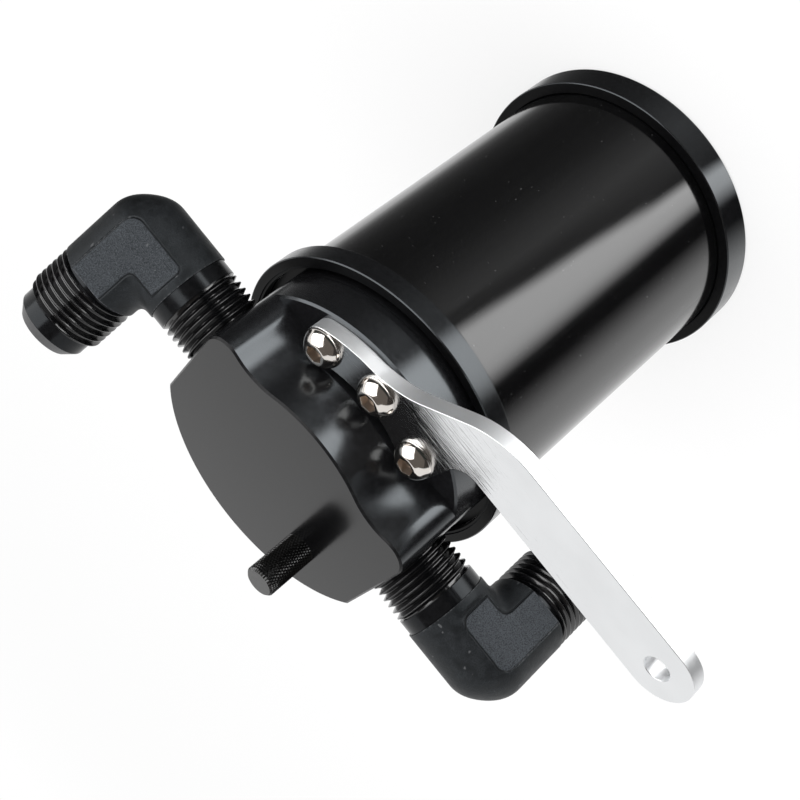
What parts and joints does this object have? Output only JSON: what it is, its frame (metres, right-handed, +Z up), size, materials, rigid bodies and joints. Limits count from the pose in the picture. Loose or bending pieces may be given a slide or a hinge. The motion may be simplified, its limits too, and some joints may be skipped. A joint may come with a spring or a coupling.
{
  "type": "oil catch can",
  "caption": "Black round oil catch can with a lift-off head, flared hose elbows on both sides, a knurled dipstick and a polished cranked mounting bracket.",
  "frame": {"origin": "centre of the bottom cap's flat underside, on the axis of the can", "axes": "+Z up the axis from the base to the head; X through the two ports, with the inlet elbow on -X; +Y towards the bracket"},
  "size_m": [0.1662, 0.0992, 0.1543],
  "materials": {
    "black_tube": "black anodised, semi-gloss",
    "black_head": "black anodised, satin top and glossy sides",
    "black_fitting": "black anodised forging, matte",
    "black_knob": "black anodised, diamond knurled",
    "polished_plate": "polished stainless plate",
    "screw_steel": "bright stainless",
    "washer_alloy": "plain machined",
    "wire_pad": "knitted stainless wire",
    "seal_rubber": "matte nitrile"
  },
  "bodies": {
    "can": {"tube": "black_tube", "collar": "black_tube", "bottom_cap": "black_tube", "cap_seal": "seal_rubber", "drain_plug": "screw_steel", "drain_washer": "washer_alloy"},
    "head": {"head": "black_head", "head_seal": "seal_rubber", "inlet_elbow": "black_fitting", "outlet_elbow": "black_fitting", "bracket": "polished_plate", "bracket_screws": "screw_steel", "drop_tube": "washer_alloy", "filter_pad": "wire_pad", "baffle_plate": "washer_alloy", "baffle_posts": "washer_alloy", "baffle_screws": "screw_steel"},
    "dipstick": {"dipstick_knob": "black_knob", "dipstick_rod": "screw_steel", "dipstick_seal": "seal_rubber"}
  },
  "joints": [
    {"name": "head_lift", "type": "slide", "parent": "can", "child": "head", "axis": [0, 0, 1], "range_m": [0, 0.1]},
    {"name": "dipstick_pull", "type": "slide", "parent": "head", "child": "dipstick", "axis": [0, 0, 1], "range_m": [0, 0.125]}
  ]
}
